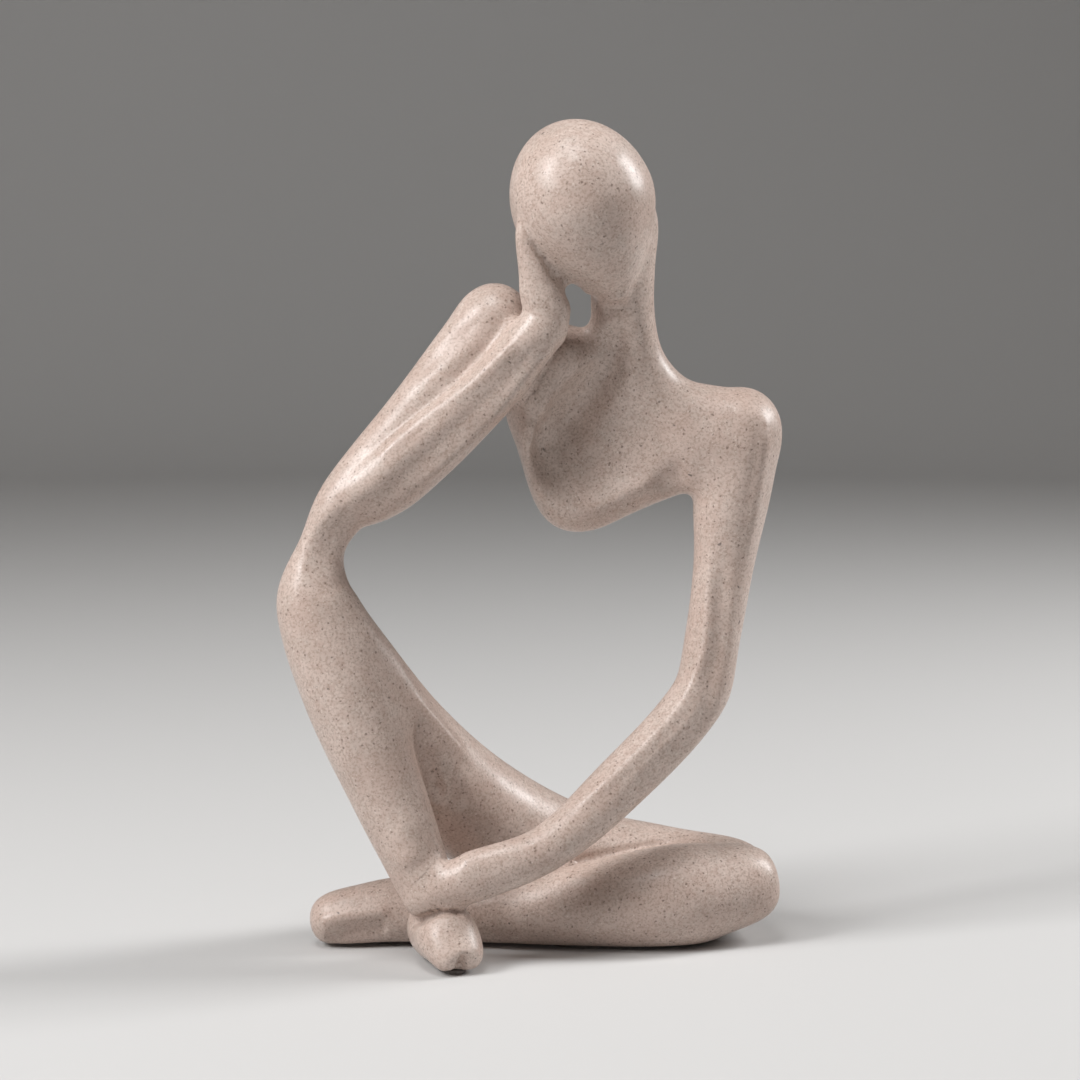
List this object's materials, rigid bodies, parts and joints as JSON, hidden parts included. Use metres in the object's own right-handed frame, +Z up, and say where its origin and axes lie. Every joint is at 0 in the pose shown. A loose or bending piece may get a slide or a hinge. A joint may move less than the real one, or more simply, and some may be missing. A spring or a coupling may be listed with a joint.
{
  "type": "thinker statue",
  "caption": "Slender abstract seated figure, plain egg head propped on one hand, legs folded, arms framing an open window. Freestanding cast resin table ornament.",
  "frame": {"origin": "on the table plane, under the middle of the figure's overall box", "axes": "+Z up, -Y towards the viewer whom the figure faces, +X to that viewer's right"},
  "size_m": [0.1581, 0.0826, 0.259],
  "materials": {
    "cast_resin": "satin",
    "steel": "satin",
    "felt": "matte"
  },
  "bodies": {
    "root": {"head": "cast_resin", "torso": "cast_resin", "right_arm": "cast_resin", "left_arm": "cast_resin", "raised_leg": "cast_resin", "folded_leg": "cast_resin", "neck_dowel": "steel", "shoulder_dowel": "steel", "elbow_dowel": "steel", "hip_dowel": "steel", "ankle_dowel": "steel", "cheek_dowel": "steel", "arm_core": "steel", "raised_foot_pad": "felt", "calf_pad": "felt", "thigh_pad": "felt", "folded_foot_pad": "felt"}
  },
  "joints": []
}
